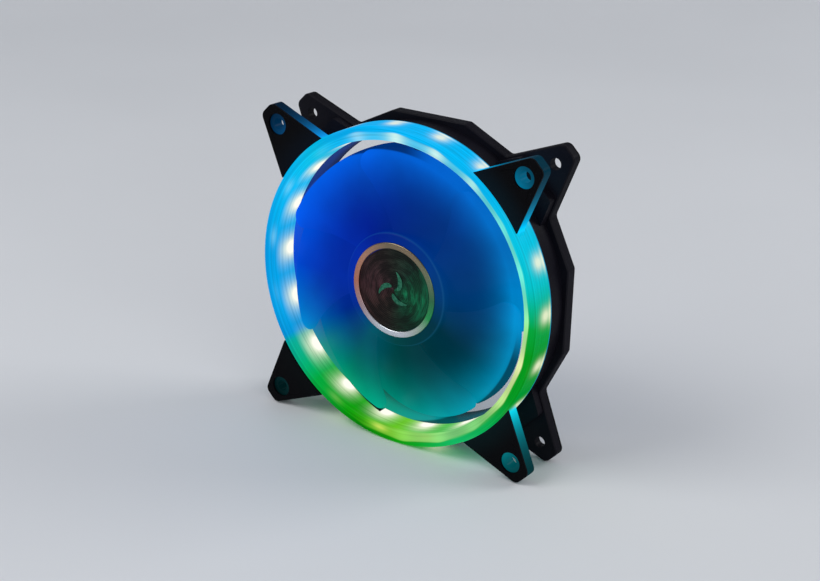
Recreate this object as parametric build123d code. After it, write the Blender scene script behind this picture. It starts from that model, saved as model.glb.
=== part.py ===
from build123d import *

import os
from math import asin, atan, atan2, cos, degrees, radians, sin, tan

# Lit 120 mm case fan. Millimetres. The rotor axis is Y, the fan blows towards +Y and +Z is up.
# The origin is the middle of the fan. Every "depth" is measured back from the front face.
# Angles run from +X towards +Z, which is anticlockwise seen from the front.

# Envelope and screw pattern
SIZE = 120.0
DEPTH = 25.0
HALF = SIZE / 2
HOLE_PITCH = 105.0
SCREW_R = 2.15
EAR_TIP = (HALF, 55.3)
EAR_TIP_FILLET = 2.7
EAR_OVERLAP = 0.25
FIT = 0.1
OVERRUN = 1.0
NEAR = 0.01

# Light ring: a channel of clear plastic, open at the back
RING_R = HALF
DUCT_R = 55.0
RING_OUTER_WALL = 1.4
RING_INNER_WALL = 1.0
RING_WEB = 1.3
RING_STEP_R = 57.0
RING_STEP = 0.3
RING_STEP_SLOPE = 0.2
RING_OUTER_CHAMFER = 0.6
RING_INNER_CHAMFER = 0.5
OUTER_WALL_END = 10.5
INNER_WALL_END = 11.5
FRONT_EAR_ROOT = (50.5, 32.4)
FRONT_EAR_BACK = 5.2
EAR_ROOT_FILLET = 2.5

# Rubber pads, one on each face of each corner
PAD = 1.0
PAD_HOLE_R = 3.9

# Bayonet ramps that lock the ring to the frame
RAMP_START, RAMP_END = 240.0, 259.0
RAMP_RISE = 3.5

# Frame: duct, rear flange, four struts and the motor base
SKIN_R = RING_R - RING_OUTER_WALL - FIT
TONGUE_FRONT = 10.2
FLANGE_FRONT = 20.5
FLANGE_NOTCH = (51.5, 33.0)
FLANGE_FLAT = 15.5
FLANGE_FILLET = 2.0
FLANGE_EDGE = 0.4
REAR_PAD_R = 61.3
REAR_PAD_RECESS = 16.0
GUSSET_FRONT = 17.0
GUSSET_INSET = 0.8
GUSSET_REACH = 66.2
GUSSET_FILLET = 1.5
DUCT_CHAMFER = 1.0
STRUT_FRONT = 20.8
STRUT_WIDTH = 3.4
STRUT_BASE_ANGLE, STRUT_RIM_ANGLE = -8.0, 10.0
CABLE_STRUT = 3
CABLE_STRUT_WIDTH = 6.6
CABLE_GROOVE_WIDTH = 4.2
CABLE_GROOVE_FRONT = 22.0
CABLE_GROOVE_END_R = 64.0
LED_SLOT_INNER_R, LED_SLOT_OUTER_R = 56.3, 57.9
BASE_R = 20.6
BASE_WALL = 1.6
BASE_WALL_FRONT = 19.6
BASE_FLOOR_FRONT = 23.2
BASE_BOSS_R = 6.5
BASE_BOSS_FRONT = 20.2
BASE_CHAMFER = 0.5
BOARD_POSTS = 3
BOARD_POST_R = 1.4
BOARD_POST_RADIUS = 12.5
LABEL_R = 17.0
LABEL = 0.2

# LED board and its lamps
LED_COUNT = 18
LED_BOARD = 0.8
LED_BOARD_GAP = 0.2
LED_RADIAL, LED_LONG, LED_HIGH = 1.8, 2.8, 0.8

# Impeller
BLADES = 7
HUB_R = 21.5
HUB_WALL = 1.5
HUB_FRONT = 1.2
HUB_FACE_BACK = 3.2
HUB_BACK = 18.6
HUB_EDGE_FILLET = 1.3
HUB_RECESS_R = 17.9
HUB_RECESS_BACK = 2.0
HUB_BOSS_R = 4.2
HUB_BOSS_BACK = 6.0
TIP_R = 51.0
BLADE_ROOT_R = 20.8
BLADE_FRONT, BLADE_BACK = 2.8, 16.8
BLADE_WRAP_ROOT, BLADE_WRAP_TIP = 84.0, 61.0
BLADE_CAMBER = 2.0
BLADE_THICK_ROOT, BLADE_THICK_TIP = 2.0, 1.4
BLADE_EDGE = 0.7
BLADE_STATIONS = (16.0, 25.5, 35.0, 44.5, 54.5)
LEAD_ANGLE_AT, LEAD_ANGLE = 45.0, 7.5
LEAD_SWEEP = 0.7
TIP_ROUND = 4.5

# Hub trim
TRIM_INNER_R, TRIM_OUTER_R = 15.6, 17.85
TRIM_FRONT = 0.75
TRIM_EDGE = 0.35
BADGE_FRONT = 1.3

# Rotor
CUP_WALL = 1.0
CUP_BACK = 18.2
CUP_HOLE_R = 4.4
MAGNET_INNER_R = 17.1
MAGNET_FRONT, MAGNET_BACK = 5.0, 18.0
SHAFT_R = 1.5
SHAFT_FRONT, SHAFT_BACK = 2.4, 23.0
SHAFT_CHAMFER = 0.3
CLIP_GROOVE_R = 1.15
CLIP_R = 2.9
CLIP_FRONT, CLIP_BACK = 19.8, 20.3
CLIP_MOUTH = 1.6
OIL_WASHER_R = 3.2
OIL_WASHER_FRONT, OIL_WASHER_BACK = 6.1, 6.7

# Bearing
BEARING_BORE_R = 1.55
BEARING_R = 3.5
BEARING_FRONT, BEARING_BACK = 7.2, 19.5
TUBE_R = 4.5
TUBE_FRONT, TUBE_BACK = 6.8, 24.2
THRUST_FRONT = 23.2

# Stator
POLES = 4
CORE_R = 16.6
CORE_FRONT, CORE_BACK = 10.0, 16.0
CORE_HUB_R = 7.0
INSULATOR_INSET = 0.5
POLE_ARM = 4.5
POLE_SHOE_R = 13.8
POLE_SPAN = 76.0
INSULATOR = 0.8
COIL_INNER_R, COIL_OUTER_R = 7.6, 12.6
COIL_HALF_WIDTH = 5.0
COIL_CLEARANCE = 0.1
COIL_BUILD = 1.8
POST_REACH = 9.2
POST_WIDTH = 3.0
PIN_R = 0.35
PIN_RADIUS = 8.2
PIN_FRONT, PIN_BACK = 16.2, 22.6

# Driver board
BOARD_FRONT, BOARD_BACK = 21.0, 22.0
BOARD_R = 18.6
HALL_SIZE = (1.5, 3.0, 1.0)
HALL_RADIUS, HALL_ANGLE = 16.8, 45.0
CHIP_SIZE = (4.0, 5.0, 1.1)
CHIP_RADIUS, CHIP_ANGLE = 12.0, 120.0
CAPACITOR_SIZE = (1.3, 2.0, 0.9)
CAPACITOR_RADIUS, CAPACITOR_ANGLES = 14.5, (20.0, 42.0, 215.0)
CONNECTOR_LENGTH, CONNECTOR_WIDTH, CONNECTOR_HIGH = 3.0, 4.0, 1.1
CONNECTOR_RADIUS = 16.9

# Lead from the driver board to the LED board
WIRE_R = 0.5
WIRES = 3
WIRE_PITCH = 1.2
WIRE_DEPTH = 22.6
WIRE_BEND = 1.0
WIRE_RADIUS = 57.1


def y_at(depth):
    """Y of a depth behind the front face."""
    return depth - DEPTH / 2


def slab(outline, front, back):
    """Solid of a front-view outline between two depths."""
    plane = Plane(origin=(0, y_at(back), 0), x_dir=(1, 0, 0), z_dir=(0, -1, 0))
    return extrude(plane * outline, amount=back - front)


def ring(inner_r, outer_r, front, back):
    """Ring about the rotor axis."""
    return slab(Circle(outer_r) - Circle(inner_r), front, back)


def disc(radius, front, back):
    """Disc about the rotor axis."""
    return slab(Circle(radius), front, back)


def turned(points):
    """Solid of revolution about the rotor axis from (radius, depth) points."""
    outline = make_face(Polyline(*[(r, y_at(depth)) for r, depth in points], close=True))
    return revolve(outline, Axis.Y)


def spun(part, angle):
    """The part turned about the rotor axis, anticlockwise seen from the front."""
    return Rot(0, -angle, 0) * part


def polar(radius, angle):
    """Front-view point at a radius and an angle."""
    return radius * cos(radians(angle)), radius * sin(radians(angle))


def corners(points):
    """Closed front-view outline through the points."""
    return make_face(Polyline(*points, close=True))


def bar(start, end, width):
    """Front-view strip of a given width between two points."""
    angle = degrees(atan2(end[1] - start[1], end[0] - start[0]))
    side = polar(width / 2, angle + 90)
    return corners([
        (start[0] + side[0], start[1] + side[1]),
        (end[0] + side[0], end[1] + side[1]),
        (end[0] - side[0], end[1] - side[1]),
        (start[0] - side[0], start[1] - side[1]),
    ])


def around(make, count):
    """Sum of the same outline repeated around the rotor axis."""
    total = make
    for index in range(1, count):
        total = total + Rot(0, 0, index * 360 / count) * make
    return total


def screw_holes(radius):
    """Front-view outlines of the four corner holes."""
    return around(Pos(HOLE_PITCH / 2, HOLE_PITCH / 2) * Circle(radius), 4)


def ear_outline(root):
    """Upper right corner ear, from inside its root on the ring to the cut corner."""
    tip_x, tip_y = EAR_TIP
    inner_x = root[0] - EAR_OVERLAP * (tip_x - root[0])
    inner_y = root[1] - EAR_OVERLAP * (tip_y - root[1])
    outline = corners([(inner_x, inner_y), (tip_x, tip_y), (tip_y, tip_x), (inner_y, inner_x)])
    tips = outline.vertices().filter_by(lambda v: v.X + v.Y > tip_x + tip_y - OVERRUN)
    return fillet(tips, EAR_TIP_FILLET)


def pad_outline(root, inner_r):
    """Rubber pad of the upper right corner."""
    hole = Pos(HOLE_PITCH / 2, HOLE_PITCH / 2) * Circle(PAD_HOLE_R)
    return ear_outline(root) - Circle(inner_r) - hole


def ramp_outline(clearance):
    """Side view of a bayonet ramp, on the plane that touches the duct at the ramp's middle."""
    half = DUCT_R * sin(radians((RAMP_END - RAMP_START) / 2))
    top = y_at(INNER_WALL_END - RAMP_RISE + clearance)
    base = y_at(INNER_WALL_END)
    return corners([(-half, base), (half - clearance, base), (half - clearance, top)])


def ramps(clearance):
    """The two bayonet ramps, opposite each other."""
    middle = (RAMP_START + RAMP_END) / 2
    both = None
    for angle in (middle, middle + 180):
        x, z = polar(DUCT_R, angle)
        outward = (cos(radians(angle)), 0, sin(radians(angle)))
        along = (-sin(radians(angle)), 0, cos(radians(angle)))
        plane = Plane(origin=(x, 0, z), x_dir=along, z_dir=(-outward[0], 0, -outward[2]))
        prism = extrude(plane * ramp_outline(clearance), amount=2 * RING_INNER_WALL, both=True)
        both = prism if both is None else both + prism
    return both & ring(DUCT_R, DUCT_R + RING_INNER_WALL, 0, DEPTH)


def front_diffuser():
    """Clear light ring with its four front ears."""
    outer_r = RING_R - RING_OUTER_WALL
    inner_r = DUCT_R + RING_INNER_WALL
    channel = turned([
        (RING_R, RING_OUTER_CHAMFER), (RING_R, OUTER_WALL_END), (outer_r, OUTER_WALL_END),
        (outer_r, RING_WEB), (inner_r, RING_WEB), (inner_r, INNER_WALL_END), (DUCT_R, INNER_WALL_END),
        (DUCT_R, RING_STEP + RING_INNER_CHAMFER), (DUCT_R + RING_INNER_CHAMFER, RING_STEP),
        (RING_STEP_R, RING_STEP), (RING_STEP_R + RING_STEP_SLOPE, 0), (RING_R - RING_OUTER_CHAMFER, 0),
    ])
    outline = Circle(RING_R) + around(ear_outline(FRONT_EAR_ROOT), 4)
    corner_zone = min(FRONT_EAR_ROOT) - OVERRUN
    roots = outline.vertices().filter_by(
        lambda v: min(abs(v.X), abs(v.Y)) > corner_zone and Vector(v.X, v.Y).length < RING_R + OVERRUN
    )
    plates = fillet(roots, EAR_ROOT_FILLET) - Circle(RING_R - RING_OUTER_WALL / 2)
    plates = plates - screw_holes(SCREW_R)
    return channel + slab(plates, PAD, FRONT_EAR_BACK) - ramps(0)


def front_pad(index):
    """Rubber pad on a front ear."""
    outline = pad_outline(FRONT_EAR_ROOT, RING_R + FIT)
    return spun(slab(outline, 0, PAD), index * 90)


def rear_pad(index):
    """Rubber pad on a rear ear."""
    outline = pad_outline(FLANGE_NOTCH, REAR_PAD_R + FIT)
    return spun(slab(outline, DEPTH - PAD, DEPTH), index * 90)


def flange():
    """Rear flange with a flat on each side and an ear at each corner."""
    tip_x, tip_y = EAR_TIP
    notch_x, notch_y = FLANGE_NOTCH
    quarter = [
        (HALF, FLANGE_FLAT), (notch_x, notch_y), (tip_x, tip_y),
        (tip_y, tip_x), (notch_y, notch_x), (FLANGE_FLAT, HALF),
    ]
    points = []
    for index in range(4):
        c, s = round(cos(radians(90 * index))), round(sin(radians(90 * index)))
        points += [(x * c - y * s, x * s + y * c) for x, y in quarter]
    outline = corners(points)
    tip_r = Vector(*EAR_TIP).length - OVERRUN
    tips = outline.vertices().filter_by(lambda v: Vector(v.X, v.Y).length > tip_r)
    outline = fillet(tips, EAR_TIP_FILLET)
    bend_r = Vector(HALF, FLANGE_FLAT).length + OVERRUN
    bends = outline.vertices().filter_by(lambda v: Vector(v.X, v.Y).length < bend_r)
    outline = fillet(bends, FLANGE_FILLET)
    plate = slab(outline, FLANGE_FRONT, DEPTH)
    rims = plate.edges().filter_by(lambda e: abs(e.center().Y - y_at(FLANGE_FRONT)) < NEAR)
    plate = chamfer(rims, FLANGE_EDGE)
    square = Pos(HALF, HALF) * Rectangle(REAR_PAD_RECESS, REAR_PAD_RECESS)
    recess = around(ear_outline(FLANGE_NOTCH) + square, 4) - Circle(REAR_PAD_R)
    plate = plate - disc(DUCT_R + DUCT_CHAMFER, 0, DEPTH)
    return plate - slab(recess, DEPTH - PAD, DEPTH) - slab(screw_holes(SCREW_R), 0, DEPTH)


def gussets():
    """Blocks between the duct and the root of each rear ear."""
    limit = GUSSET_REACH * 2 ** 0.5
    inside = corners([(0, 0), (limit, 0), (0, limit)])
    outline = offset(ear_outline(FLANGE_NOTCH), amount=-GUSSET_INSET) & inside
    ends = outline.vertices().filter_by(lambda v: abs(v.X + v.Y - limit) < NEAR)
    outline = fillet(ends, GUSSET_FILLET) - Circle(SKIN_R - FIT)
    return slab(around(outline, 4), GUSSET_FRONT, FLANGE_FRONT)


def duct():
    """Round duct with the tongue that enters the light ring."""
    tongue_r = DUCT_R + RING_INNER_WALL + FIT
    return turned([
        (tongue_r, TONGUE_FRONT), (SKIN_R, TONGUE_FRONT), (SKIN_R, DEPTH), (DUCT_R + DUCT_CHAMFER, DEPTH),
        (DUCT_R, DEPTH - DUCT_CHAMFER), (DUCT_R, INNER_WALL_END), (tongue_r, INNER_WALL_END),
    ])


def strut_line(index, inner_r, outer_r):
    """Two points on the middle line of a strut, at the given radii."""
    base = Vector(*polar(BASE_R, STRUT_BASE_ANGLE + 90 * index))
    rim = Vector(*polar(DUCT_R, STRUT_RIM_ANGLE + 90 * index))
    along = (rim - base).normalized()
    miss = base.X * along.Y - base.Y * along.X
    foot = base - along * base.dot(along)
    points = []
    for radius in (inner_r, outer_r):
        point = foot + along * (radius ** 2 - miss ** 2) ** 0.5
        points.append((point.X, point.Y))
    return points


def motor_base():
    """Cup that carries the bearing tube, the stator and the driver board."""
    cup = turned([
        (0, TUBE_BACK), (TUBE_R, TUBE_BACK), (TUBE_R, BASE_BOSS_FRONT), (BASE_BOSS_R, BASE_BOSS_FRONT),
        (BASE_BOSS_R, BASE_FLOOR_FRONT), (BASE_R - BASE_WALL, BASE_FLOOR_FRONT),
        (BASE_R - BASE_WALL, BASE_WALL_FRONT), (BASE_R, BASE_WALL_FRONT), (BASE_R, DEPTH - BASE_CHAMFER),
        (BASE_R - BASE_CHAMFER, DEPTH), (LABEL_R + FIT, DEPTH), (LABEL_R + FIT, DEPTH - LABEL),
        (0, DEPTH - LABEL),
    ])
    for index in range(BOARD_POSTS):
        x, y = polar(BOARD_POST_RADIUS, (index + 0.5) * 360 / BOARD_POSTS)
        cup = cup + slab(Pos(x, y) * Circle(BOARD_POST_R), BOARD_BACK, BASE_FLOOR_FRONT)
    return cup


def rear_frame():
    """Black frame: duct, flange, struts and motor base in one moulding."""
    frame = duct() + flange() + gussets() + motor_base()
    reach = ring(BASE_R - BASE_WALL / 2, DUCT_R + DUCT_CHAMFER, STRUT_FRONT, DEPTH)
    for index in range(4):
        width = CABLE_STRUT_WIDTH if index == CABLE_STRUT else STRUT_WIDTH
        start, end = strut_line(index, BASE_R / 2, SIZE / 2)
        frame = frame + (slab(bar(start, end, width), STRUT_FRONT, DEPTH) & reach)
    start, end = strut_line(CABLE_STRUT, BASE_R - 2 * BASE_WALL, CABLE_GROOVE_END_R)
    groove = slab(bar(start, end, CABLE_GROOVE_WIDTH), CABLE_GROOVE_FRONT, BASE_FLOOR_FRONT)
    start, end = strut_line(CABLE_STRUT, BASE_R, CABLE_GROOVE_END_R)
    groove = groove + slab(bar(start, end, CABLE_GROOVE_WIDTH), CABLE_GROOVE_FRONT, DEPTH)
    start, end = strut_line(CABLE_STRUT, LED_SLOT_INNER_R, LED_SLOT_OUTER_R)
    slot = slab(bar(start, end, CABLE_GROOVE_WIDTH), TONGUE_FRONT, DEPTH)
    return frame + ramps(FIT) - groove - slot


def led_board():
    """Ring board on the end of the frame's tongue, inside the diffuser."""
    inner_r = DUCT_R + RING_INNER_WALL + LED_BOARD_GAP
    outer_r = RING_R - RING_OUTER_WALL - LED_BOARD_GAP
    return ring(inner_r, outer_r, TONGUE_FRONT - LED_BOARD, TONGUE_FRONT)


def led(index):
    """One lamp on the front of the LED board."""
    back = TONGUE_FRONT - LED_BOARD
    radius = (DUCT_R + RING_INNER_WALL + RING_R - RING_OUTER_WALL) / 2
    package = slab(Pos(radius, 0) * Rectangle(LED_RADIAL, LED_LONG), back - LED_HIGH, back)
    return spun(package, index * 360 / LED_COUNT)


def rear_label():
    """Plain label in the recess behind the motor base."""
    return disc(LABEL_R, DEPTH - LABEL, DEPTH)


def hub():
    """Cup of the impeller, with the badge recess in front and the shaft boss inside."""
    inner_r = HUB_R - HUB_WALL
    points = [
        (SHAFT_R, SHAFT_FRONT), (0, SHAFT_FRONT), (0, HUB_RECESS_BACK), (HUB_RECESS_R, HUB_RECESS_BACK),
        (HUB_RECESS_R, HUB_FRONT), (HUB_R, HUB_FRONT), (HUB_R, HUB_BACK), (inner_r, HUB_BACK),
        (inner_r, HUB_FACE_BACK), (HUB_BOSS_R, HUB_FACE_BACK), (HUB_BOSS_R, HUB_BOSS_BACK),
        (SHAFT_R, HUB_BOSS_BACK),
    ]
    outline = make_face(Polyline(*[(r, y_at(depth)) for r, depth in points], close=True))
    edge = outline.vertices().filter_by(lambda v: v.X > HUB_R - NEAR and v.Y < y_at(HUB_FRONT) + NEAR)
    return revolve(fillet(edge, HUB_EDGE_FILLET), Axis.Y)


def lead_edge_angle(radius):
    """Angle of the first blade's leading edge at a radius: it sweeps forward as it goes out."""
    return LEAD_ANGLE + LEAD_SWEEP * (radius - LEAD_ANGLE_AT)


def blade_section(station):
    """Cambered section of the first blade on a plane square to its radius."""
    share = (station - BLADE_STATIONS[0]) / (BLADE_STATIONS[-1] - BLADE_STATIONS[0])
    wrap = BLADE_WRAP_ROOT + (BLADE_WRAP_TIP - BLADE_WRAP_ROOT) * share
    thick = BLADE_THICK_ROOT + (BLADE_THICK_TIP - BLADE_THICK_ROOT) * share
    reach = station * tan(radians(wrap / 2))
    middle = lead_edge_angle(station / cos(radians(wrap / 2))) - wrap / 2
    chord = Vector(-2 * reach, BLADE_BACK - BLADE_FRONT).normalized()
    across = Vector(-chord.Y, chord.X) * (BLADE_EDGE / 2)
    front, back = Vector(reach, BLADE_FRONT), Vector(-reach, BLADE_BACK)
    crown = (front + back) * 0.5 - Vector(0, BLADE_CAMBER)
    rear_side = ThreePointArc(front - across, crown + Vector(0, thick / 2), back - across)
    tail = ThreePointArc(back - across, back + chord * (BLADE_EDGE / 2), back + across)
    front_side = ThreePointArc(back + across, crown - Vector(0, thick / 2), front + across)
    nose = ThreePointArc(front + across, front - chord * (BLADE_EDGE / 2), front - across)
    x, z = polar(station, middle)
    outward = Vector(x, 0, z).normalized()
    plane = Plane(origin=(x, y_at(0), z), x_dir=(-outward.Z, 0, outward.X), z_dir=-outward)
    return plane * make_face([rear_side, tail, front_side, nose])


def tip_corner():
    """Front-view piece that the rounded leading corner of the first blade leaves out."""
    round_r = TIP_R - TIP_ROUND
    lean = atan(radians(LEAD_SWEEP) * round_r)
    centre_angle = lead_edge_angle(round_r) - degrees(asin(TIP_ROUND / cos(lean) / round_r))
    centre = Vector(*polar(round_r, centre_angle))
    radial = centre.normalized()
    tangent = Vector(-radial.Y, radial.X)
    rim_point = centre + radial * (TIP_ROUND + OVERRUN)
    edge_point = centre + (tangent * cos(lean) - radial * sin(lean)) * (TIP_ROUND + OVERRUN)
    corner = Vector(*polar(TIP_R + TIP_ROUND, lead_edge_angle(TIP_R + TIP_ROUND)))
    kite = corners([(p.X, p.Y) for p in (centre, rim_point, corner, edge_point)])
    return kite - Pos(centre.X, centre.Y) * Circle(TIP_ROUND)


def blade():
    """First blade, trimmed to the hub and to the duct."""
    body = loft([blade_section(station) for station in BLADE_STATIONS])
    body = body & ring(BLADE_ROOT_R, TIP_R, 0, DEPTH)
    return body - slab(tip_corner(), 0, DEPTH / 2)


def impeller():
    """Clear hub with seven swept blades."""
    body = hub()
    first = blade()
    for index in range(BLADES):
        body = body + spun(first, index * 360 / BLADES)
    return body


def hub_trim_ring():
    """Bright ring around the badge."""
    return turned([
        (TRIM_INNER_R, HUB_RECESS_BACK), (TRIM_INNER_R, TRIM_FRONT + TRIM_EDGE),
        (TRIM_INNER_R + TRIM_EDGE, TRIM_FRONT), (TRIM_OUTER_R - TRIM_EDGE, TRIM_FRONT),
        (TRIM_OUTER_R, TRIM_FRONT + TRIM_EDGE), (TRIM_OUTER_R, HUB_RECESS_BACK),
    ])


def hub_badge():
    """Spun disc inside the trim ring."""
    return disc(TRIM_INNER_R - FIT, BADGE_FRONT, HUB_RECESS_BACK)


def rotor_cup():
    """Steel cup inside the hub, which closes the magnetic circuit."""
    outer_r = HUB_R - HUB_WALL
    return turned([
        (CUP_HOLE_R, HUB_FACE_BACK), (outer_r, HUB_FACE_BACK), (outer_r, CUP_BACK),
        (outer_r - CUP_WALL, CUP_BACK), (outer_r - CUP_WALL, HUB_FACE_BACK + CUP_WALL),
        (CUP_HOLE_R, HUB_FACE_BACK + CUP_WALL),
    ])


def magnet_ring():
    """Ring magnet inside the steel cup."""
    return ring(MAGNET_INNER_R, HUB_R - HUB_WALL - CUP_WALL, MAGNET_FRONT, MAGNET_BACK)


def shaft():
    """Rotor shaft with the groove for its clip."""
    tip_r = SHAFT_R - SHAFT_CHAMFER
    return turned([
        (0, SHAFT_FRONT), (SHAFT_R, SHAFT_FRONT), (SHAFT_R, CLIP_FRONT), (CLIP_GROOVE_R, CLIP_FRONT),
        (CLIP_GROOVE_R, CLIP_BACK), (SHAFT_R, CLIP_BACK), (SHAFT_R, SHAFT_BACK - SHAFT_CHAMFER),
        (tip_r, SHAFT_BACK), (0, SHAFT_BACK),
    ])


def shaft_clip():
    """Split clip in the shaft's groove, which keeps the rotor in."""
    mouth = Pos(CLIP_R, 0) * Rectangle(2 * CLIP_R, CLIP_MOUTH)
    return slab(Circle(CLIP_R) - Circle(CLIP_GROOVE_R) - mouth, CLIP_FRONT, CLIP_BACK)


def oil_washer():
    """Washer on the shaft, which throws oil back into the bearing."""
    return ring(SHAFT_R, OIL_WASHER_R, OIL_WASHER_FRONT, OIL_WASHER_BACK)


def sleeve_bearing():
    """Sintered sleeve that the shaft runs in."""
    return ring(BEARING_BORE_R, BEARING_R, BEARING_FRONT, BEARING_BACK)


def bearing_tube():
    """Brass tube that carries the bearing and the stator."""
    return ring(BEARING_R, TUBE_R, TUBE_FRONT, TUBE_BACK)


def thrust_plate():
    """Wear disc that the end of the shaft runs on."""
    return disc(BEARING_R, THRUST_FRONT, TUBE_BACK)


def pole_outline(arm, shoe_r, outer_r):
    """Front view of the stator's hub, arms and pole shoes."""
    arms = around(Pos(shoe_r / 2, 0) * Rectangle(shoe_r + OVERRUN, arm), POLES)
    half = POLE_SPAN / 2
    wedge = corners([(0, 0), polar(2 * outer_r, -half), (2 * outer_r, 0), polar(2 * outer_r, half)])
    shoes = around((Circle(outer_r) - Circle(shoe_r)) & wedge, POLES)
    return Circle(CORE_HUB_R) + arms + shoes - Circle(TUBE_R)


def stator_core():
    """Laminated core with four poles."""
    return slab(pole_outline(POLE_ARM, POLE_SHOE_R, CORE_R), CORE_FRONT, CORE_BACK)


def between_poles(index):
    """Angle of the gap after a pole."""
    return (index + 0.5) * 360 / POLES


def pin_places():
    """Front-view places of the four winding pins."""
    return [polar(PIN_RADIUS, between_poles(index)) for index in range(POLES)]


def insulator_front():
    """Plastic insulator on the front of the core."""
    outline = pole_outline(POLE_ARM, POLE_SHOE_R, CORE_R - INSULATOR_INSET)
    return slab(outline, CORE_FRONT - INSULATOR, CORE_FRONT)


def insulator_rear():
    """Plastic insulator on the back of the core, with posts for the pins."""
    outline = pole_outline(POLE_ARM, POLE_SHOE_R, CORE_R - INSULATOR_INSET)
    for index in range(POLES):
        angle = between_poles(index)
        outline = outline + bar(polar(CORE_HUB_R - OVERRUN, angle), polar(POST_REACH, angle), POST_WIDTH)
    plate = slab(outline, CORE_BACK, CORE_BACK + INSULATOR)
    for x, y in pin_places():
        plate = plate - slab(Pos(x, y) * Circle(PIN_R), PIN_FRONT, DEPTH)
    return plate


def coil(index):
    """Winding around one pole arm."""
    length = COIL_OUTER_R - COIL_INNER_R
    front = CORE_FRONT - INSULATOR - COIL_CLEARANCE
    back = CORE_BACK + INSULATOR + COIL_CLEARANCE
    place = Pos((COIL_INNER_R + COIL_OUTER_R) / 2, 0)
    outer = slab(place * Rectangle(length, 2 * COIL_HALF_WIDTH), front - COIL_BUILD, back + COIL_BUILD)
    outer = fillet(outer.edges().filter_by(Axis.X), COIL_BUILD)
    inner = slab(place * Rectangle(length + OVERRUN, POLE_ARM + 2 * COIL_CLEARANCE), front, back)
    return spun(outer - inner, index * 90)


def winding_pins():
    """Four pins that carry the winding ends to the driver board."""
    pins = [slab(Pos(x, y) * Circle(PIN_R), PIN_FRONT, PIN_BACK) for x, y in pin_places()]
    return Compound(children=pins)


def driver_board():
    """Round driver board on the posts of the motor base."""
    board = ring(BASE_BOSS_R + FIT, BOARD_R, BOARD_FRONT, BOARD_BACK)
    for x, y in pin_places():
        board = board - slab(Pos(x, y) * Circle(PIN_R), 0, DEPTH)
    return board


def chip_box(size, radius, angle, front):
    """Small package standing on the driver board."""
    return spun(slab(Pos(radius, 0) * Rectangle(size[0], size[1]), front, front + size[2]), angle)


def hall_sensor():
    """Sensor that reads the magnet ring."""
    return chip_box(HALL_SIZE, HALL_RADIUS, HALL_ANGLE, BOARD_FRONT - HALL_SIZE[2])


def driver_chip():
    """Motor driver on the back of the board."""
    return chip_box(CHIP_SIZE, CHIP_RADIUS, CHIP_ANGLE, BOARD_BACK)


def board_capacitors():
    """Small capacitors on the back of the board."""
    return Compound(children=[
        chip_box(CAPACITOR_SIZE, CAPACITOR_RADIUS, angle, BOARD_BACK) for angle in CAPACITOR_ANGLES
    ])


def lead_connector():
    """Block that the LED lead plugs into, on the back of the driver board."""
    start, end = strut_line(CABLE_STRUT, CONNECTOR_RADIUS - CONNECTOR_LENGTH, CONNECTOR_RADIUS)
    return slab(bar(start, end, CONNECTOR_WIDTH), BOARD_BACK, BOARD_BACK + CONNECTOR_HIGH)


def led_lead():
    """Wires from the driver board along the grooved strut, then forward to the LED board."""
    start, end = strut_line(CABLE_STRUT, CONNECTOR_RADIUS, WIRE_RADIUS)
    angle = degrees(atan2(end[1] - start[1], end[0] - start[0]))
    wires = []
    for index in range(WIRES):
        side = Vector(*polar((index - (WIRES - 1) / 2) * WIRE_PITCH, angle + 90))
        inner = Vector(start[0] + side.X, y_at(WIRE_DEPTH), start[1] + side.Y)
        bend = Vector(end[0] + side.X, y_at(WIRE_DEPTH), end[1] + side.Y)
        route = FilletPolyline(inner, bend, Vector(bend.X, y_at(TONGUE_FRONT), bend.Z), radius=WIRE_BEND)
        wires.append(sweep(Plane(origin=inner, z_dir=bend - inner) * Circle(WIRE_R), path=route))
    return Compound(children=wires)


def parts():
    """Every node of the fan by name."""
    nodes = {
        "rear_frame": rear_frame(),
        "front_diffuser": front_diffuser(),
        "led_board": led_board(),
        "rear_label": rear_label(),
        "impeller": impeller(),
        "hub_trim_ring": hub_trim_ring(),
        "hub_badge": hub_badge(),
        "rotor_cup": rotor_cup(),
        "magnet_ring": magnet_ring(),
        "shaft": shaft(),
        "shaft_clip": shaft_clip(),
        "oil_washer": oil_washer(),
        "sleeve_bearing": sleeve_bearing(),
        "bearing_tube": bearing_tube(),
        "thrust_plate": thrust_plate(),
        "stator_core": stator_core(),
        "insulator_front": insulator_front(),
        "insulator_rear": insulator_rear(),
        "winding_pins": winding_pins(),
        "driver_board": driver_board(),
        "hall_sensor": hall_sensor(),
        "driver_chip": driver_chip(),
        "board_capacitors": board_capacitors(),
        "lead_connector": lead_connector(),
        "led_lead": led_lead(),
    }
    for index in range(4):
        nodes[f"front_pad_{index + 1}"] = front_pad(index)
        nodes[f"rear_pad_{index + 1}"] = rear_pad(index)
        nodes[f"coil_{index + 1}"] = coil(index)
    for index in range(LED_COUNT):
        nodes[f"led_{index + 1:02d}"] = led(index)
    return nodes


os.makedirs("parts", exist_ok=True)
for name, shape in parts().items():
    export_step(shape, f"parts/{name}.step")
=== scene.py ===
import math

import bmesh
import bpy
from mathutils import Matrix, Vector


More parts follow.
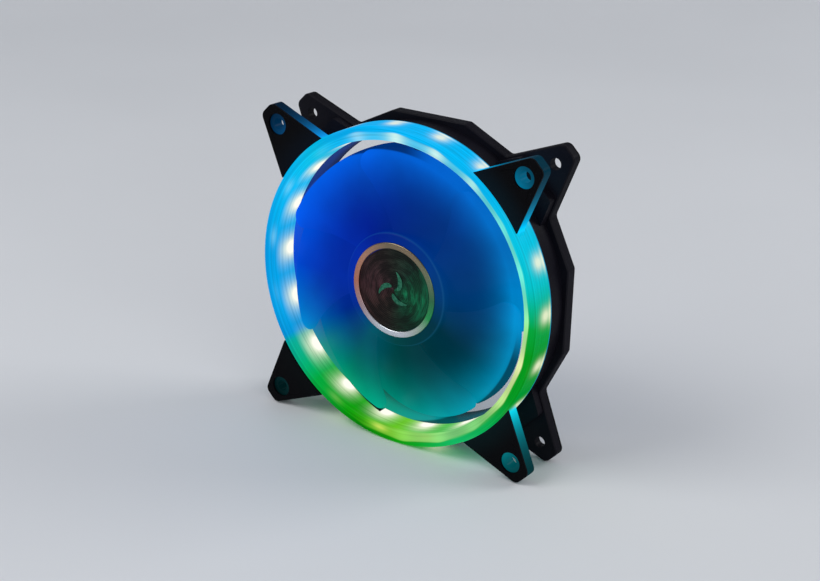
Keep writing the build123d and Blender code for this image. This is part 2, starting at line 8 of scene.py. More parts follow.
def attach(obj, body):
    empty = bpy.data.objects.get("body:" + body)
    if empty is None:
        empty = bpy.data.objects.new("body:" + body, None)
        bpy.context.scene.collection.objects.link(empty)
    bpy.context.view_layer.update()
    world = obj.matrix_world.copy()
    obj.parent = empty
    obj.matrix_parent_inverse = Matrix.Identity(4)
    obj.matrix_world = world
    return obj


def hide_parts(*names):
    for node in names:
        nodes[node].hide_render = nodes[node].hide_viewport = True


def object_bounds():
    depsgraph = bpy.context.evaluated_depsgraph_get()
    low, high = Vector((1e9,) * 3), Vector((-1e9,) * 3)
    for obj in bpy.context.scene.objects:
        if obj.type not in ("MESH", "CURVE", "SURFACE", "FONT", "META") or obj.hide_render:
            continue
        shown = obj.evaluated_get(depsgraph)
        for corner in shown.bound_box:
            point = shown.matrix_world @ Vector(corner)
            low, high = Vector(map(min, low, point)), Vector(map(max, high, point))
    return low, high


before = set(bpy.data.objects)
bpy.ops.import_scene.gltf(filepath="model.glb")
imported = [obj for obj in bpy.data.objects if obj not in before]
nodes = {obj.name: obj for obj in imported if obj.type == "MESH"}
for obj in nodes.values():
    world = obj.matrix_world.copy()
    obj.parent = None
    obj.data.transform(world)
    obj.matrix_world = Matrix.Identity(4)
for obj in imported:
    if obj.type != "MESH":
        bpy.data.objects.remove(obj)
cad_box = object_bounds()

# The rotor axis is Y and the lit front faces -Y. "Depth" is measured back from the front face,
# angles run from +X towards +Z, and lengths in the tables below are in millimetres.
MM = 0.001
HALF_DEPTH = 12.5
LED_COUNT = 18
RING_R = 60.0
DUCT_R = 55.0
SCREW_AT = 52.5
EAR_TIP, EAR_TIP_ROUND = (60.0, 55.3), 2.7
PAD_THICKNESS = 1.0
PAD_HOLE_R = 3.9
LIGHT_FRONT = 3.0
LIGHT_LEAN = (0.689, 0.494)
# Radii over which the ring's front goes over to its inner wall, its outer wall and its ears
INNER_FACE = (56.5, 56.0)
OUTER_FACE = (59.0, 59.5)
EARS_FROM = (59.9, 61.0)
EAR_FADE = 0.208
# First angle and pitch of the pale band's lobes, and of the lamps seen through the front
LOBE_FROM, LOBE_PITCH = 20.0, 17.4
SEEN_FROM, SEEN_PITCH = 148.0, 23.4

# Camera, in the row frame
CAMERA_AT = Vector((296.2, -424.5, 198.6)) * MM
CAMERA_FORWARD = Vector((-0.5256, 0.7627, -0.3768))
CAMERA_UP = Vector((-0.2327, 0.2971, 0.9261))
CAMERA_LENS = 66.7
CAMERA_SHIFT = (-0.0116, 0.0262)


def srgb(red, green, blue):
    """Linear colour of a screen colour given from 0 to 255."""
    def linear(value):
        value /= 255
        return value / 12.92 if value <= 0.04045 else ((value + 0.055) / 1.055) ** 2.4
    return linear(red), linear(green), linear(blue), 1.0


# Glow of the ring's walls by angle in degrees
WALL_GLOW = [
    (0, (0, 172, 62)), (7, (0, 190, 140)), (15, (2, 205, 208)), (30, (8, 208, 235)), (50, (0, 192, 246)),
    (100, (0, 190, 252)), (114, (2, 178, 240)), (128, (10, 190, 226)), (148, (0, 186, 244)),
    (178, (0, 160, 229)), (200, (0, 164, 232)), (211, (0, 148, 214)), (214, (0, 172, 152)),
    (225, (0, 174, 112)), (232, (0, 166, 62)), (249, (2, 158, 10)), (257, (6, 150, 0)),
    (263, (72, 182, 16)), (272, (104, 198, 30)), (282, (66, 186, 48)), (300, (96, 196, 104)),
    (318, (56, 180, 78)), (331, (0, 160, 34)), (350, (0, 160, 26)),
]
# Glow of the ears' edges by angle
EAR_GLOW = [
    (0, (0, 150, 190)), (45, (0, 180, 236)), (90, (0, 140, 210)), (135, (6, 108, 176)),
    (180, (0, 60, 90)), (225, (2, 74, 78)), (270, (0, 90, 90)), (315, (4, 182, 196)),
]
# Glow of the pale band round the front's inner edge, by angle: full from 284 round to 86, and gone
# from 125 to 245
BAND_GLOW = [
    (0, (158, 238, 150)), (15, (112, 240, 218)), (45, (102, 216, 216)), (75, (130, 220, 232)),
    (92, (150, 230, 238)), (110, (60, 205, 238)), (180, (10, 160, 228)), (250, (80, 180, 20)),
    (270, (128, 206, 60)), (285, (150, 224, 112)), (300, (127, 211, 126)), (315, (125, 206, 118)),
    (330, (190, 228, 140)), (345, (222, 234, 166)),
]
# Light inside the duct, round the hub and out by the blades' tips, by angle
HUB_LIGHT = [
    (0, (0, 53, 104)), (30, (0, 52, 119)), (60, (0, 46, 126)), (90, (0, 38, 130)), (120, (0, 31, 140)),
    (150, (0, 40, 159)), (180, (0, 43, 162)), (210, (0, 40, 136)), (240, (0, 80, 98)),
    (270, (0, 64, 66)), (300, (0, 53, 62)), (330, (0, 49, 66)),
]
TIP_LIGHT = [
    (0, (0, 138, 201)), (30, (0, 112, 194)), (60, (0, 98, 199)), (90, (0, 94, 213)), (120, (0, 90, 222)),
    (150, (0, 92, 236)), (180, (0, 78, 224)), (210, (0, 130, 200)), (222, (0, 160, 140)),
    (240, (0, 165, 115)), (270, (0, 160, 136)), (300, (2, 151, 163)), (330, (0, 136, 175)),
]
# Painted reflection on the bright trim by angle: what the metal mirrors, painted into its colour
TRIM_REFLECTION = [
    (0, (70, 130, 90)), (20, (120, 140, 110)), (60, (150, 132, 108)), (100, (140, 126, 104)),
    (140, (200, 150, 125)), (180, (205, 135, 112)), (215, (190, 165, 170)), (250, (225, 232, 238)),
    (285, (228, 230, 236)), (310, (190, 205, 190)), (335, (60, 175, 100)),
]
# Dark colour of the spun badge by angle, with painted reflections: green to the right, brown-red to the
# left
BADGE_COLOUR_AND_REFLECTION = [
    (0, (10, 105, 66)), (25, (12, 88, 58)), (50, (16, 46, 34)), (90, (30, 38, 30)), (120, (44, 32, 32)),
    (180, (62, 36, 40)), (220, (50, 32, 30)), (260, (30, 28, 22)), (300, (8, 54, 36)), (340, (6, 92, 58)),
]


class Graph:
    """A material and short ways to wire its nodes."""

    def __init__(self, name, **settings):
        self.material = bpy.data.materials.new(name)
        self.material.use_nodes = True
        self.tree = self.material.node_tree
        self.shader = self.tree.nodes["Principled BSDF"]
        self.set(**settings)

    def set(self, **settings):
        """Sets or wires the shader's sockets: an underscore in a keyword stands for a space."""
        for key, value in settings.items():
            self.put(self.shader.inputs[key.replace("_", " ")], value)

    def put(self, socket, value):
        if isinstance(value, bpy.types.NodeSocket):
            self.tree.links.new(value, socket)
        else:
            socket.default_value = value

    def node(self, kind, *values, **settings):
        made = self.tree.nodes.new("ShaderNode" + kind)
        for key, value in settings.items():
            setattr(made, key, value)
        for index, value in enumerate(values):
            self.put(made.inputs[index], value)
        return made

    def math(self, operation, *values):
        return self.node("Math", *values, operation=operation).outputs[0]

    def add(self, a, b):
        return self.math("ADD", a, b)

    def times(self, a, b):
        return self.math("MULTIPLY", a, b)

    def most(self, a, b):
        return self.math("MAXIMUM", a, b)

    def less(self, value):
        """1 minus a value."""
        return self.math("SUBTRACT", 1.0, value)

    def facing(self, cosine, sine, way):
        """How far a place on the circle faces a way given in X and Z, from -1 to 1."""
        return self.add(self.times(cosine, way[0]), self.times(sine, way[1]))

    def place(self, world=False, lean=(0.0, 0.0)):
        """(radius, turn, depth, cosine, sine): polar place, in millimetres and whole turns.

        With a lean, the axis that the place is measured from tilts in X and Z behind the blades' front.
        """
        kind, output = ("NewGeometry", "Position") if world else ("TexCoord", "Object")
        x, y, z = self.node("SeparateXYZ", self.node(kind).outputs[output]).outputs
        if any(lean):
            behind = self.add(y, (HALF_DEPTH - LIGHT_FRONT) * MM)
            x, z = (self.add(part, self.times(behind, slope)) for part, slope in zip((x, z), lean))
        radius = self.math("SQRT", self.add(self.times(x, x), self.times(z, z)))
        safe = self.most(radius, MM / 100)
        cosine, sine = self.math("DIVIDE", x, safe), self.math("DIVIDE", z, safe)
        turn = self.math("FRACT", self.add(self.times(self.math("ARCTAN2", z, x), 0.5 / math.pi), 1.0))
        depth = self.add(self.times(y, 1 / MM), HALF_DEPTH)
        return self.times(radius, 1 / MM), turn, depth, cosine, sine

    def bump_at(self, value, width):
        """1 at value 0, falling off like a bell of that width."""
        share = self.math("DIVIDE", value, width)
        return self.math("EXPONENT", self.times(self.times(share, share), -1.0))

    def bell(self, value, centre, width):
        return self.bump_at(self.math("SUBTRACT", value, centre), width)

    def from_mark(self, degrees, start, pitch, radius):
        """Millimetres along a circle from the nearest of the marks that repeat round it."""
        share = self.math("FRACT", self.add(self.times(self.add(degrees, -start), 1 / pitch), 0.5))
        return self.times(self.add(share, -0.5), math.radians(pitch) * radius)

    def step(self, value, low, high, to_low=0.0, to_high=1.0):
        """Smooth step of a value from low to high."""
        return self.node(
            "MapRange", value, low, high, to_low, to_high, interpolation_type="SMOOTHSTEP"
        ).outputs[0]

    def straight(self, value, low, high):
        """Straight ramp of a value from low to high, held to 0 and 1."""
        return self.node("MapRange", value, low, high, 0.0, 1.0).outputs[0]

    def ramp(self, factor, stops):
        made = self.node("ValToRGB", factor)
        ramp = made.color_ramp
        while len(ramp.elements) < len(stops):
            ramp.elements.new(0.5)
        for element, (position, colour) in zip(ramp.elements, stops):
            element.position, element.color = position, colour
        return made.outputs[0]

    def wheel(self, turn, stops):
        """Colour by angle, from (degrees, screen colour) stops that start at 0."""
        closed = [(angle / 360, srgb(*colour)) for angle, colour in stops]
        return self.ramp(turn, closed + [(1.0, closed[0][1])])

    def mix(self, factor, a, b):
        made = self.node("Mix", data_type="RGBA")
        for index, value in ((0, factor), (6, a), (7, b)):
            self.put(made.inputs[index], value)
        return made.outputs[2]

    def scale(self, colour, value):
        """Colour times a wired number or three plain ones."""
        if isinstance(value, bpy.types.NodeSocket):
            value = self.vector(value, value, value)
        return self.node("VectorMath", colour, value, operation="MULTIPLY").outputs[0]

    def duct_light(self):
        """Colour of the light inside the duct, still in the room: it falls in askew and dims to the hub."""
        radius, turn, _, cosine, sine = self.place(world=True, lean=LIGHT_LEAN)
        right = self.most(self.facing(cosine, sine, (0.94, 0.342)), 0.0)
        share = self.math("POWER", self.straight(radius, 24.0, 50.0), self.add(self.times(right, 2.0), 2.0))
        light = self.mix(share, self.wheel(turn, HUB_LIGHT), self.wheel(turn, TIP_LIGHT))
        # Painted shade: up to 72% darker just past the blades' tips, except towards the upper right
        away = self.step(self.facing(cosine, sine, (0.813, 0.582)), 0.8, 0.6)
        past_tips = self.times(self.step(radius, 51.1, 51.9), away)
        return self.scale(light, self.less(self.times(past_tips, 0.72)))

    def vector(self, x, y, z):
        return self.node("CombineXYZ", x, y, z).outputs[0]

    def spots(self):
        """Object coordinates in millimetres, for grain that rides with the piece."""
        at = self.node("TexCoord").outputs["Object"]
        return self.node("VectorMath", at, (1 / MM, 1 / MM, 1 / MM), operation="MULTIPLY").outputs[0]

    def noise(self, at, scale, detail=2.0, roughness=0.5):
        made = self.node("TexNoise", noise_dimensions="3D")
        for key, value in (("Vector", at), ("Scale", scale), ("Detail", detail), ("Roughness", roughness)):
            self.put(made.inputs[key], value)
        return made.outputs["Fac"]

    def bump(self, height, distance):
        """Wires a bump of a height from 0 to 1 and that many millimetres."""
        made = self.node("Bump")
        for key, value in (("Height", height), ("Distance", distance * MM), ("Strength", 1.0)):
            self.put(made.inputs[key], value)
        self.set(Normal=made.outputs["Normal"])


def ring_material():
    """Frosted light ring: coloured by angle, with a soft hot spot over each lamp."""
    g = Graph("ring_glow", Roughness=0.34, Specular_IOR_Level=0.0, Coat_Weight=0.09, Coat_Roughness=0.24)
    radius, turn, depth, cosine, sine = g.place()
    wall = g.wheel(turn, WALL_GLOW)

    # Fine streaks that run round the ring
    around = g.vector(g.times(radius, 2.4), g.times(depth, 0.9), g.times(cosine, 2.0))
    streak = g.noise(around, 1.0, 3.0, 0.6)
    wall = g.scale(wall, g.step(streak, 0.3, 0.7, 0.8, 1.1))

    # Lamps behind the inner wall: a long core by its back edge, with a fainter flare in front
    late = g.step(turn, 200 / 360, 236 / 360, 0.60, 0.46)
    inner_s = g.times(g.add(g.math("FRACT", g.add(g.times(turn, LED_COUNT), late)), -0.5),
                      2 * math.pi * DUCT_R / LED_COUNT)
    core = g.times(g.bump_at(inner_s, 3.4), g.bell(depth, 10.2, 3.5))
    reach = g.times(g.step(depth, 0.4, 6.5), g.step(streak, 0.3, 0.62, 0.5, 0.95))
    flare = g.times(g.bump_at(inner_s, 5.3), reach)
    inside = g.step(radius, *INNER_FACE)
    core, flare = g.times(g.times(core, 1.5), inside), g.times(flare, inside)

    # Lamps behind the outer wall: round spots with a thin line of light along the back edge
    lag = g.facing(cosine, sine, (-0.559, 0.829))
    lamp = g.add(g.times(g.add(turn, g.times(lag, 0.018)), LED_COUNT), 0.5)
    outer_s = g.times(g.add(g.math("FRACT", lamp), -0.5), 2 * math.pi * RING_R / LED_COUNT)
    outside = g.step(radius, *OUTER_FACE)
    spot = g.times(g.times(g.bump_at(outer_s, 3.0), g.bell(depth, 6.6, 3.0)), outside)
    line = g.times(g.times(g.bump_at(outer_s, 3.6), g.bell(depth, 9.4, 0.7)), outside)

    # The front's outer band is deeper in colour. Its inner band is pale, and wider beside each lamp
    low = g.bell(turn, 268 / 360, 16 / 360)
    deep = g.mix(low, g.scale(wall, (0.05, 0.87, 0.93)), g.scale(wall, (0.02, 0.52, 0.12)))
    wall = g.mix(g.step(radius, 57.2, 58.2), wall, deep)
    side = g.step(g.facing(cosine, sine, (0.996, 0.087)), -0.5, 0.15)
    rise = g.math("POWER", g.math("ABSOLUTE", sine), 4.0)
    signed = g.times(g.add(g.math("FRACT", g.add(turn, 0.5)), -0.5), 360)
    lobe = g.bump_at(g.from_mark(signed, LOBE_FROM, LOBE_PITCH, 57.0), 4.4)
    edge = g.add(g.add(g.times(rise, 1.2), 56.75), g.times(lobe, 0.55))
    band = g.times(g.step(g.math("SUBTRACT", edge, radius), -0.25, 0.4), g.step(depth, 2.6, 1.2))
    over = g.step(sine, 0.6, 1.0)
    shine = g.times(g.step(streak, 0.25, 0.7, 0.86, 1.04), g.add(g.times(lobe, 0.25), 0.79))
    share = g.less(g.times(g.times(over, 0.6), g.less(lobe)))
    band = g.times(g.times(band, side), share)
    pale = g.mix(g.times(g.times(lobe, over), 0.7), g.wheel(turn, BAND_GLOW), srgb(214, 240, 232))
    colour = g.mix(band, wall, g.scale(pale, shine))

    # Lamps seen through the front's inner edge, on the side away from the pale band
    front_s = g.from_mark(g.times(turn, 360), SEEN_FROM, SEEN_PITCH, 56.3)
    seen = g.most(g.bell(turn, 160 / 360, 28 / 360), g.times(g.bell(turn, 263 / 360, 17 / 360), 2.0))
    peep = g.times(g.times(g.bump_at(front_s, 3.4), g.bell(radius, 56.0, 1.1)), g.step(depth, 1.6, 0.6))
    light_tint = g.mix(g.step(turn, 210 / 360, 256 / 360), srgb(176, 240, 250), srgb(232, 240, 110))
    colour = g.mix(g.times(g.times(peep, seen), 0.3), colour, light_tint)

    cream = srgb(255, 250, 214)
    colour = g.mix(flare, colour, g.mix(0.6, wall, srgb(240, 250, 216)))
    colour = g.mix(g.math("MINIMUM", spot, 0.9), colour, g.mix(0.8, wall, cream))
    colour = g.mix(g.math("MINIMUM", g.most(core, line), 1.0), colour, g.mix(
        g.math("MINIMUM", core, 1.0), g.mix(0.8, wall, cream), srgb(255, 254, 240)))

    # Ears: bright where they leave the ring, dim at the tips, a little brighter round the screw holes
    away = g.math("EXPONENT", g.times(g.add(radius, -RING_R), -EAR_FADE))
    out_x, out_z = (
        g.add(g.times(radius, g.math("ABSOLUTE", part)), -SCREW_AT) for part in (cosine, sine)
    )
    from_screw = g.math("SQRT", g.add(g.times(out_x, out_x), g.times(out_z, out_z)))
    glow = g.times(g.add(g.times(away, 1.85), 0.038), g.step(from_screw, 4.6, 3.8, 1.0, 1.35))
    ears = g.step(radius, *EARS_FROM)
    colour = g.mix(ears, colour, g.scale(g.wheel(turn, EAR_GLOW), glow))
    lip = g.times(g.step(depth, 9.9, 10.3), g.step(radius, *OUTER_FACE))
    colour = g.mix(lip, colour, srgb(14, 140, 186))

    g.set(
        Base_Color=g.scale(colour, (0.03, 0.03, 0.03)),
        Emission_Color=colour, Emission_Strength=1.03,
    )
    g.bump(streak, 0.04)
    return g.material


def impeller_material():
    """Frosted blades, with the light inside the duct painted on them as a glow."""
    g = Graph(
        "impeller_painted_light", Roughness=0.42, Specular_IOR_Level=0.0, Coat_Weight=0.08, Coat_Roughness=0.35,
        Emission_Strength=1.0,
    )
    radius, _, depth, *_ = g.place()
    at = g.spots()
    light = g.scale(g.duct_light(), g.step(g.noise(at, 0.06, 3.0), 0.25, 0.75, 0.9, 1.08))
    # Painted light and shade: a little brighter at the blades' front, a little darker behind it
    light = g.scale(light, g.step(depth, 3.2, 5.5, 1.06, 0.97))
    # Painted highlight: a thin brighter line round the hub's front rim
    rim = g.times(g.bell(radius, 21.25, 0.25), g.step(depth, 3.0, 1.6))
    light = g.mix(g.times(rim, 0.14), light, srgb(40, 120, 170))
    g.set(Base_Color=g.scale(light, (0.05, 0.05, 0.05)), Emission_Color=light)
    g.bump(g.noise(at, 3.0, 2.0), 0.02)
    return g.material


def frame_material():
    """Black moulded plastic: satin, finely grained, with the ring's light spilling down its duct."""
    g = Graph(
        "frame_black", Specular_IOR_Level=0.0, Coat_Weight=0.16, Coat_Roughness=0.38, Emission_Strength=1.0,
    )
    radius, _, depth, *_ = g.place()
    at = g.spots()
    grain = g.noise(at, 2.6, 4.0, 0.65)
    cloud = g.noise(at, 0.045, 3.0)
    shade = g.ramp(cloud, [(0.3, srgb(15, 14, 20)), (0.7, srgb(22, 21, 29))])
    duct = g.times(g.step(radius, 55.9, 55.3), g.step(depth, 9.0, 12.0))
    fall = g.times(g.step(radius, 30.0, 54.0, 0.1, 0.9), g.step(depth, 15.0, 24.5, 1.0, 0.25))
    g.set(
        Base_Color=g.mix(g.step(grain, 0.45, 0.75, 0.0, 0.16), shade, srgb(54, 52, 60)),
        Emission_Color=g.scale(g.duct_light(), g.times(duct, fall)),
        Roughness=g.step(cloud, 0.25, 0.75, 0.42, 0.56),
    )
    g.bump(grain, 0.03)
    return g.material


def rubber_material():
    """Soft black rubber with dust in its grain and a breath of the ring's light."""
    g = Graph("rubber_black", Specular_IOR_Level=0.06, Emission_Strength=1.0)
    radius, turn, depth, *_ = g.place()
    at = g.spots()
    grain = g.noise(at, 3.2, 5.0, 0.7)
    near = g.times(g.step(radius, 70.0, 59.5), g.step(depth, 3.0, 1.0))
    g.set(
        Base_Color=g.mix(g.step(grain, 0.55, 0.8, 0.0, 0.3), srgb(4, 4, 7), srgb(26, 26, 31)),
        Emission_Color=g.scale(g.wheel(turn, EAR_GLOW), g.times(near, 0.012)),
        Roughness=g.step(grain, 0.3, 0.7, 0.55, 0.7),
    )
    g.bump(grain, 0.05)
    return g.material


def trim_material():
    """Bright metallised ring with a turned finish and painted reflections that change with angle."""
    g = Graph("bright_trim", Metallic=1.0)
    radius, turn, depth, cosine, _ = g.place()
    lines = g.noise(g.vector(g.times(radius, 9.0), g.times(depth, 9.0), g.times(cosine, 0.6)), 1.0, 2.0)
    # Painted reflection: the colour by angle of what the metal mirrors, over the turned lines
    light_tint = g.scale(g.wheel(turn, TRIM_REFLECTION), g.step(lines, 0.2, 0.8, 0.86, 1.06))
    g.set(Base_Color=light_tint, Roughness=g.step(lines, 0.3, 0.7, 0.2, 0.34))
    g.bump(lines, 0.004)
    return g.material


def badge_material():
    """Dark spun disc: fine grooves, with soft painted highlights drawn out round its middle and painted
    reflections by angle.
    """
    g = Graph("spun_badge", Metallic=0.75)
    radius, turn, _, cosine, sine = g.place()
    round_x, round_z = g.times(cosine, 0.5), g.times(sine, 0.5)
    grooves = g.noise(g.vector(g.times(radius, 3.4), round_x, round_z), 1.0, 4.0, 0.7)
    # Painted highlights: soft arcs drawn out round the middle brighten the painted reflections
    arcs = g.noise(g.vector(g.times(radius, 0.42), g.times(cosine, 1.5), g.times(sine, 1.5)), 1.0, 3.0, 0.6)
    sheen = g.times(g.step(arcs, 0.38, 0.72, 0.45, 1.9), g.step(grooves, 0.2, 0.8, 0.55, 1.4))
    light_tint = g.scale(g.wheel(turn, BADGE_COLOUR_AND_REFLECTION), sheen)
    g.set(Base_Color=light_tint, Roughness=g.step(grooves, 0.3, 0.7, 0.3, 0.5))
    g.bump(grooves, 0.04)
    return g.material


def plain_material(name, dark, light, roughness, grain=1.5, bump=0.02, metallic=0.0, glow=0.0):
    """Two close colours in a fine cloud, with a matching change of roughness and a light bump."""
    g = Graph(name, Metallic=metallic, Emission_Strength=glow)
    at = g.spots()
    cloud = g.noise(at, grain, 4.0, 0.6)
    colour = g.ramp(cloud, [(0.35, srgb(*dark)), (0.65, srgb(*light))])
    g.set(Base_Color=colour, Roughness=g.step(cloud, 0.3, 0.7, roughness * 0.85, roughness * 1.15))
    if glow:
        g.set(Emission_Color=colour)
    g.bump(cloud, bump)
    return g.material


def striped_material(name, dark, light, roughness, pitch, metallic):
    """Fine parallel lines across the rotor axis: windings and laminations."""
    g = Graph(name, Metallic=metallic)
    at = g.spots()
    _, y, _ = g.node("SeparateXYZ", at).outputs
    wave = g.math("SINE", g.times(y, 2 * math.pi / pitch))
    line = g.step(g.add(wave, g.times(g.noise(at, 2.0), 0.4)), -0.9, 0.9)
    g.set(
        Base_Color=g.ramp(line, [(0.0, srgb(*dark)), (1.0, srgb(*light))]),
        Roughness=g.step(line, 0.0, 1.0, roughness * 1.2, roughness),
    )
    g.bump(line, 0.08)
    return g.material


def label_material():
    """Plain silver-grey paper with a printed border and a faint weave."""
    g = Graph("label_paper", Specular_IOR_Level=0.3)
    radius, *_ = g.place()
    fibre = g.noise(g.spots(), 2.2, 5.0, 0.7)
    paper = g.ramp(fibre, [(0.3, srgb(150, 152, 156)), (0.7, srgb(172, 174, 178))])
    border = g.bell(radius, 15.6, 0.28)
    g.set(Base_Color=g.mix(border, paper, srgb(60, 62, 68)), Roughness=g.step(fibre, 0.3, 0.7, 0.5, 0.68))
    g.bump(fibre, 0.03)
    return g.material


def arc_points(centre, radius, start, end, count):
    """Points of an arc from one angle to another, in radians."""
    return [
        (centre[0] + radius * math.cos(start + (end - start) * i / count),
         centre[1] + radius * math.sin(start + (end - start) * i / count))
        for i in range(count + 1)
    ]


def rounded(before, corner, after, radius):
    """Points of a rounded corner."""
    p = Vector(corner)
    u, v = (Vector(before) - p).normalized(), (Vector(after) - p).normalized()
    half = u.angle(v) / 2
    centre = p + (u + v).normalized() * (radius / math.sin(half))
    first, last = p + u * (radius / math.tan(half)) - centre, p + v * (radius / math.tan(half)) - centre
    start = math.atan2(first.y, first.x)
    sweep = first.angle(last)
    sign = 1 if first.x * last.y - first.y * last.x > 0 else -1
    return arc_points(centre, radius, start, start + sign * sweep, 8)


def to_mesh(name, work):
    """Mesh of a finished bmesh."""
    mesh = bpy.data.meshes.new(name)
    work.to_mesh(mesh)
    work.free()
    return mesh


def add_object(name, data):
    made = bpy.data.objects.new(name, data)
    bpy.context.scene.collection.objects.link(made)
    return made


def finish_mesh(name, mesh, body, stands_for, material, sharp=math.radians(38)):
    """Object of a finished mesh, smooth but for its sharp edges, riding on its body."""
    work = bmesh.new()
    work.from_mesh(mesh)
    bmesh.ops.recalc_face_normals(work, faces=work.faces)
    for face in work.faces:
        face.smooth = True
    for edge in work.edges:
        edge.smooth = len(edge.link_faces) == 2 and edge.calc_face_angle(0.0) < sharp
    work.to_mesh(mesh)
    work.free()
    made = add_object(name, mesh)
    mesh.materials.append(material)
    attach(made, body)
    if stands_for:
        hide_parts(stands_for)
    return made


def plate_mesh(name, outline, holes, front, back, turned_by=0):
    """Flat plate of a front-view outline with holes, between two depths."""
    work = bmesh.new()
    edges = []
    for loop in [outline] + holes:
        verts = []
        for x, z in loop:
            for _ in range(turned_by):
                x, z = -z, x
            verts.append(work.verts.new((x * MM, (front - HALF_DEPTH) * MM, z * MM)))
        edges += [work.edges.new((verts[i - 1], verts[i])) for i in range(len(verts))]
    bmesh.ops.triangle_fill(work, use_beauty=True, edges=edges)
    grown = bmesh.ops.extrude_face_region(work, geom=work.faces[:])
    moved = [v for v in grown["geom"] if isinstance(v, bmesh.types.BMVert)]
    bmesh.ops.translate(work, verts=moved, vec=(0, (back - front) * MM, 0))
    return to_mesh(name, work)


def soft_edges(piece, width, segments=3):
    """Rounds the piece's sharp edges."""
    bevel = piece.modifiers.new("soft_edges", "BEVEL")
    bevel.width, bevel.segments = width * MM, segments
    bevel.limit_method, bevel.angle_limit = "ANGLE", math.radians(40)
    bevel.harden_normals = True


def lathe_mesh(name, profile, segments):
    """Closed solid of revolution about the rotor axis from (radius, depth) points."""
    work = bmesh.new()
    rings = []
    for radius, depth in profile:
        y = (depth - HALF_DEPTH) * MM
        if radius < 1e-6:
            rings.append([work.verts.new((0, y, 0))])
        else:
            turns = [2 * math.pi * i / segments for i in range(segments)]
            r = radius * MM
            rings.append([work.verts.new((r * math.cos(t), y, r * math.sin(t))) for t in turns])
    for first, second in zip(rings, rings[1:] + rings[:1]):
        for i in range(segments):
            corners = [first[i % len(first)], first[(i + 1) % len(first)],
                       second[(i + 1) % len(second)], second[i % len(second)]]
            face = list(dict.fromkeys(corners))
            if len(face) > 2:
                work.faces.new(face)
    return to_mesh(name, work)


def pad_outline(root, inner_r):
    """Outline and hole of the upper right corner's rubber pad."""
    tip, mirrored = EAR_TIP, EAR_TIP[::-1]
    outline = rounded(root, tip, mirrored, EAR_TIP_ROUND)
    outline += rounded(tip, mirrored, root[::-1], EAR_TIP_ROUND)
    side = Vector(tip) - Vector(root)
    # Follows the ear's side in short steps, out to the pad's inner edge
    along = Vector(root)
    while along.length < inner_r:
        along += side.normalized() * 0.02
    angle = math.atan2(along.y, along.x)
    outline += arc_points((0, 0), inner_r, math.pi / 2 - angle, angle, 24)
    hole = arc_points((SCREW_AT, SCREW_AT), PAD_HOLE_R, 0, 2 * math.pi, 48)[:-1]
    return outline, hole


def make_pads():
    rubber = rubber_material()
    for face, root, inner_r, front in (
        ("front", (50.5, 32.4), 60.12, 0.0),
        ("rear", (51.5, 33.0), 61.42, 2 * HALF_DEPTH - PAD_THICKNESS),
    ):
        outline, hole = pad_outline(root, inner_r)
        for index in range(4):
            name = f"{face}_pad_{index + 1}"
            mesh = plate_mesh("soft_" + name, outline, [hole], front, front + PAD_THICKNESS, index)
            pad = finish_mesh("soft_" + name, mesh, "frame", name, rubber)
            soft_edges(pad, 0.22)


def make_hub_front():
    """Trim ring, spun badge and its plain three-leaf motif."""
    inner, outer, front, back, lip = 15.6, 17.85, 0.75, 2.0, 0.35
    profile = [(inner, back), (inner, front + lip)]
    profile += [(inner + lip - lip * math.cos(t), front + lip - lip * math.sin(t))
                for t in (math.pi / 10 * i for i in range(1, 6))]
    profile += [(outer - lip + lip * math.sin(t), front + lip - lip * math.cos(t))
                for t in (math.pi / 10 * i for i in range(0, 6))]
    profile += [(outer, back)]
    finish_mesh(
        "turned_trim_ring", lathe_mesh("turned_trim_ring", profile, 192), "rotor", "hub_trim_ring",
        trim_material(),
    )

    groove, pitch, rim, face = 0.045, 0.75, 15.45, 1.38
    steps = 120
    profile = [(0.0, face)]
    for i in range(1, steps + 1):
        r = rim * i / steps
        profile.append((r, face + groove * math.sin(2 * math.pi * r / pitch) - 0.03 * (r / rim) ** 2))
    profile += [(rim, back), (0.0, back)]
    finish_mesh(
        "spun_badge", lathe_mesh("spun_badge", profile, 128), "rotor", "hub_badge",
        badge_material(), sharp=math.radians(60),
    )
    motif_metal = plain_material("motif_metal", (20, 92, 66), (64, 138, 108), 0.32, 1.2, 0.01, metallic=0.8)
    for index in range(3):
        mesh = plate_mesh(f"badge_leaf_{index + 1}", leaf_outline(index * 120 + 20), [], 1.2, 1.5)
        leaf = finish_mesh(f"badge_leaf_{index + 1}", mesh, "rotor", None, motif_metal)
        soft_edges(leaf, 0.07, 2)


def leaf_outline(start):
    """One curved leaf of the badge's motif: it leans round as it leaves the middle."""
    inner, outer, widest, lean = 1.6, 7.2, 1.25, 62.0
    steps = 14
    near, far = [], []
    for i in range(steps + 1):
        s = i / steps
        radius = inner + (outer - inner) * s
        angle = math.radians(start + lean * s)
        half = widest * math.sin(math.pi * (0.12 + 0.8 * s)) / radius
        near.append((radius * math.cos(angle - half), radius * math.sin(angle - half)))
        far.append((radius * math.cos(angle + half), radius * math.sin(angle + half)))
    return near + far[::-1]


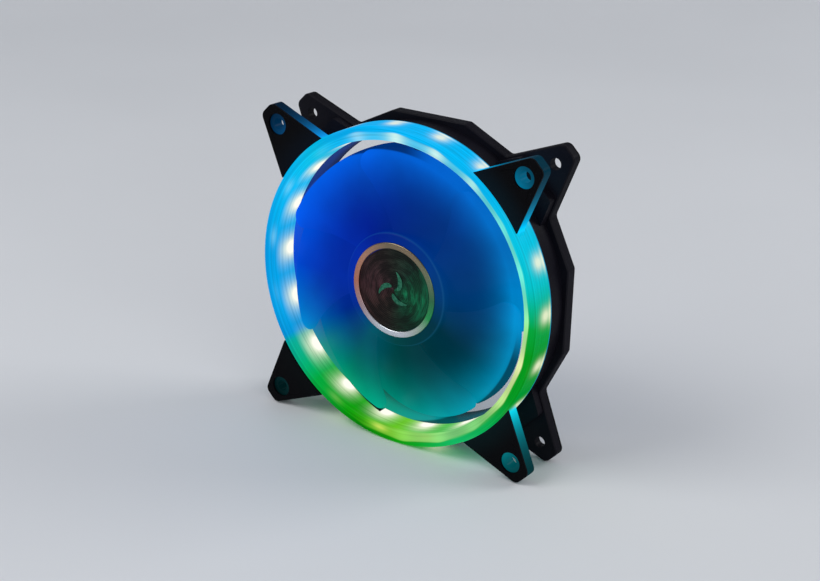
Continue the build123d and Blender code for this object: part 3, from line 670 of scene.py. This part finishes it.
def dress_cad_nodes():
    """Procedural materials on the CAD nodes that stay."""
    looks = {
        "rear_frame": frame_material(),
        "front_diffuser": ring_material(),
        "impeller": impeller_material(),
        "rear_label": label_material(),
    }
    steel = plain_material("drawn_steel", (118, 118, 122), (160, 160, 164), 0.3, 0.8, 0.01, metallic=1.0)
    white = plain_material("natural_nylon", (176, 172, 160), (206, 203, 192), 0.5)
    bronze = plain_material("sintered_bronze", (128, 92, 44), (170, 126, 66), 0.42, 4.0, 0.03, metallic=0.9)
    board = plain_material("solder_mask", (186, 192, 188), (208, 212, 208), 0.4, 1.0, 0.01)
    chip = plain_material("moulded_package", (22, 22, 23), (38, 38, 40), 0.55, 5.0)
    looks.update({
        "rotor_cup": steel, "shaft": steel, "shaft_clip": white, "thrust_plate": white,
        "insulator_front": white, "insulator_rear": white, "lead_connector": white,
        "sleeve_bearing": bronze, "bearing_tube": bronze, "winding_pins": bronze,
        "led_board": board, "driver_board": board, "hall_sensor": chip, "driver_chip": chip,
        "oil_washer": plain_material("nitrile", (14, 14, 16), (30, 30, 32), 0.6, 3.0),
        "magnet_ring": plain_material("bonded_ferrite", (34, 34, 37), (52, 52, 55), 0.6, 6.0, 0.03),
        "board_capacitors": plain_material("fired_ceramic", (120, 92, 64), (156, 124, 92), 0.4, 4.0),
        "led_lead": plain_material("wire_sheath", (16, 16, 18), (34, 34, 37), 0.38, 2.0, 0.01),
        "stator_core": striped_material("laminations", (70, 70, 74), (120, 120, 126), 0.4, 0.5, 1.0),
    })
    copper = striped_material("enamelled_wire", (96, 34, 14), (196, 96, 48), 0.3, 0.32, 0.9)
    lens = plain_material("lamp_resin", (250, 240, 205), (255, 250, 232), 0.25, 1.0, 0.005, glow=1.0)
    for index in range(4):
        looks[f"coil_{index + 1}"] = copper
    for index in range(LED_COUNT):
        looks[f"led_{index + 1:02d}"] = lens
    for name, material in looks.items():
        node = nodes[name]
        for slot in node.material_slots:
            slot.material = material


def make_floor():
    """Pale floor that curves up behind."""
    floor_z = cad_box[0].z - 0.0001
    reach, back, rise, bend = 3.0, 1.6, 2.4, 0.9
    line = [(-reach, 0.0), (back - bend, 0.0)]
    line += [(back - bend + bend * math.sin(t), bend - bend * math.cos(t))
             for t in (math.pi / 24 * i for i in range(1, 13))]
    line += [(back, rise)]
    work = bmesh.new()
    rows = [[work.verts.new((x, y, floor_z + z)) for y, z in line] for x in (-reach, reach)]
    for i in range(len(line) - 1):
        work.faces.new((rows[0][i], rows[1][i], rows[1][i + 1], rows[0][i + 1])).smooth = True
    mesh = to_mesh("studio_floor", work)
    floor = add_object("studio_floor", mesh)
    floor.rotation_euler.z = math.radians(34)
    g = Graph("studio_paper", Specular_IOR_Level=0.2)
    soft = g.noise(g.node("TexCoord").outputs["Object"], 3.0, 3.0)
    g.set(
        Base_Color=g.ramp(soft, [(0.3, srgb(228, 230, 233)), (0.7, srgb(233, 235, 238))]),
        Roughness=g.step(soft, 0.3, 0.7, 0.5, 0.6),
    )
    mesh.materials.append(g.material)


def make_lights():
    """Three soft area lights and a dim sky."""
    for name, at, size, power in (
        ("key", (-0.7, -0.9, 1.1), 0.9, 9.0),
        ("fill", (1.3, -0.7, 0.6), 1.0, 4.0),
        ("rim", (0.9, 0.9, 0.8), 0.7, 6.0),
    ):
        data = bpy.data.lights.new(name, "AREA")
        data.shape, data.size, data.energy = "SQUARE", size, power
        light = add_object(name, data)
        light.location = at
        light.rotation_euler = (-Vector(at)).to_track_quat("-Z", "Y").to_euler()
    world = bpy.data.worlds.new("studio")
    world.use_nodes = True
    sky = world.node_tree.nodes["Background"]
    sky.inputs["Color"].default_value = (0.9, 0.93, 1.0, 1.0)
    sky.inputs["Strength"].default_value = 0.35
    bpy.context.scene.world = world


def make_camera():
    data = bpy.data.cameras.new("camera")
    data.lens, data.sensor_width = CAMERA_LENS, 36.0
    data.shift_x, data.shift_y = CAMERA_SHIFT
    data.clip_start, data.clip_end = 0.01, 20.0
    camera = add_object("camera", data)
    right = CAMERA_FORWARD.cross(CAMERA_UP).normalized()
    up = right.cross(CAMERA_FORWARD).normalized()
    turn = Matrix((right, up, -CAMERA_FORWARD.normalized())).transposed()
    camera.matrix_world = Matrix.Translation(CAMERA_AT) @ turn.to_4x4()
    bpy.context.scene.camera = camera
    bpy.context.scene.view_settings.view_transform = "Standard"


make_floor()
make_lights()
make_camera()
dress_cad_nodes()
make_pads()
make_hub_front()
